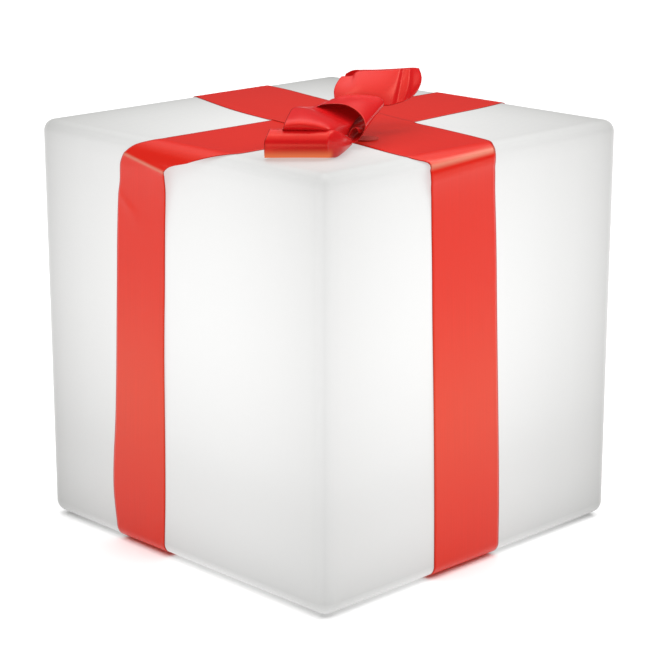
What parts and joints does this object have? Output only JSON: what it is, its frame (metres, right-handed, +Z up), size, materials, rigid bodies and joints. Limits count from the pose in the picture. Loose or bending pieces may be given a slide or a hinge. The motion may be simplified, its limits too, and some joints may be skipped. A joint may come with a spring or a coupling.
{
  "type": "led gift box light",
  "caption": "Glowing translucent cube lamp tied with crossed satin ribbon bands and a bow, with a battery light module let into its underside.",
  "frame": {"origin": "on the ground, in the middle of the cube's underside", "axes": "+Z up; the -X and -Y faces are the two that the picture shows, meeting at the corner that points at the viewer"},
  "size_m": [0.4016, 0.4016, 0.465],
  "materials": {
    "shell_plastic": "translucent rotomoulded polyethylene, lit from inside",
    "satin_ribbon": "red satin",
    "tape": "double-sided tape",
    "foam": "white foam pad",
    "tie_wire": "flat wire",
    "foot_rubber": "clear-grey moulded",
    "housing_plastic": "moulded ABS, fine texture",
    "silicone_seal": "silicone",
    "steel": "stainless",
    "brass": "turned",
    "aluminium": "stamped",
    "white_board": "white solder mask",
    "light_source": "encapsulated",
    "frosted_dome": "frosted polycarbonate",
    "tray_plastic": "moulded",
    "cell_wrap": "shrink film",
    "green_board": "green solder mask",
    "black_part": "moulded",
    "button_rubber": "moulded silicone",
    "lens_clear": "clear",
    "wire": "extruded"
  },
  "bodies": {
    "box": {"cube_shell": "shell_plastic", "side_band": "satin_ribbon", "front_band": "satin_ribbon", "ribbon_tapes": "tape", "bow_front_loop": "satin_ribbon", "bow_upper_loop": "satin_ribbon", "bow_centre_band": "satin_ribbon", "bow_knot": "satin_ribbon", "bow_rear_loop": "satin_ribbon", "bow_core": "satin_ribbon", "bow_tie_wire": "tie_wire", "bow_pad": "foam", "foot_front_left": "foot_rubber", "foot_front_right": "foot_rubber", "foot_rear_left": "foot_rubber", "foot_rear_right": "foot_rubber", "module_housing": "housing_plastic", "module_gasket": "silicone_seal", "flange_screws": "steel", "thread_inserts": "brass", "heat_spreader": "aluminium", "spreader_screws": "steel", "led_board": "white_board", "leds": "light_source", "diffuser_dome": "frosted_dome", "battery_tray": "tray_plastic", "battery_cells": "cell_wrap", "battery_strap": "steel", "control_board": "green_board", "receiver_module": "black_part", "tact_switch": "black_part", "charge_socket": "steel", "flap_pin": "steel", "indicator_lens": "lens_clear", "vent_plug": "tray_plastic", "led_leads": "wire", "battery_leads": "wire"},
    "button": {"power_button": "button_rubber", "switch_plunger": "black_part"},
    "flap": {"charge_flap": "button_rubber"}
  },
  "joints": [
    {"name": "button_press", "type": "slide", "parent": "box", "child": "button", "axis": [0, 0, 1], "range_m": [0, 0.0012], "stiffness_N_per_m": 800},
    {"name": "flap_hinge", "type": "hinge", "parent": "box", "child": "flap", "pos_m": [0.012, 0.0205, 0.0152], "axis": [-1, 0, 0], "range_deg": [0, 90]}
  ]
}
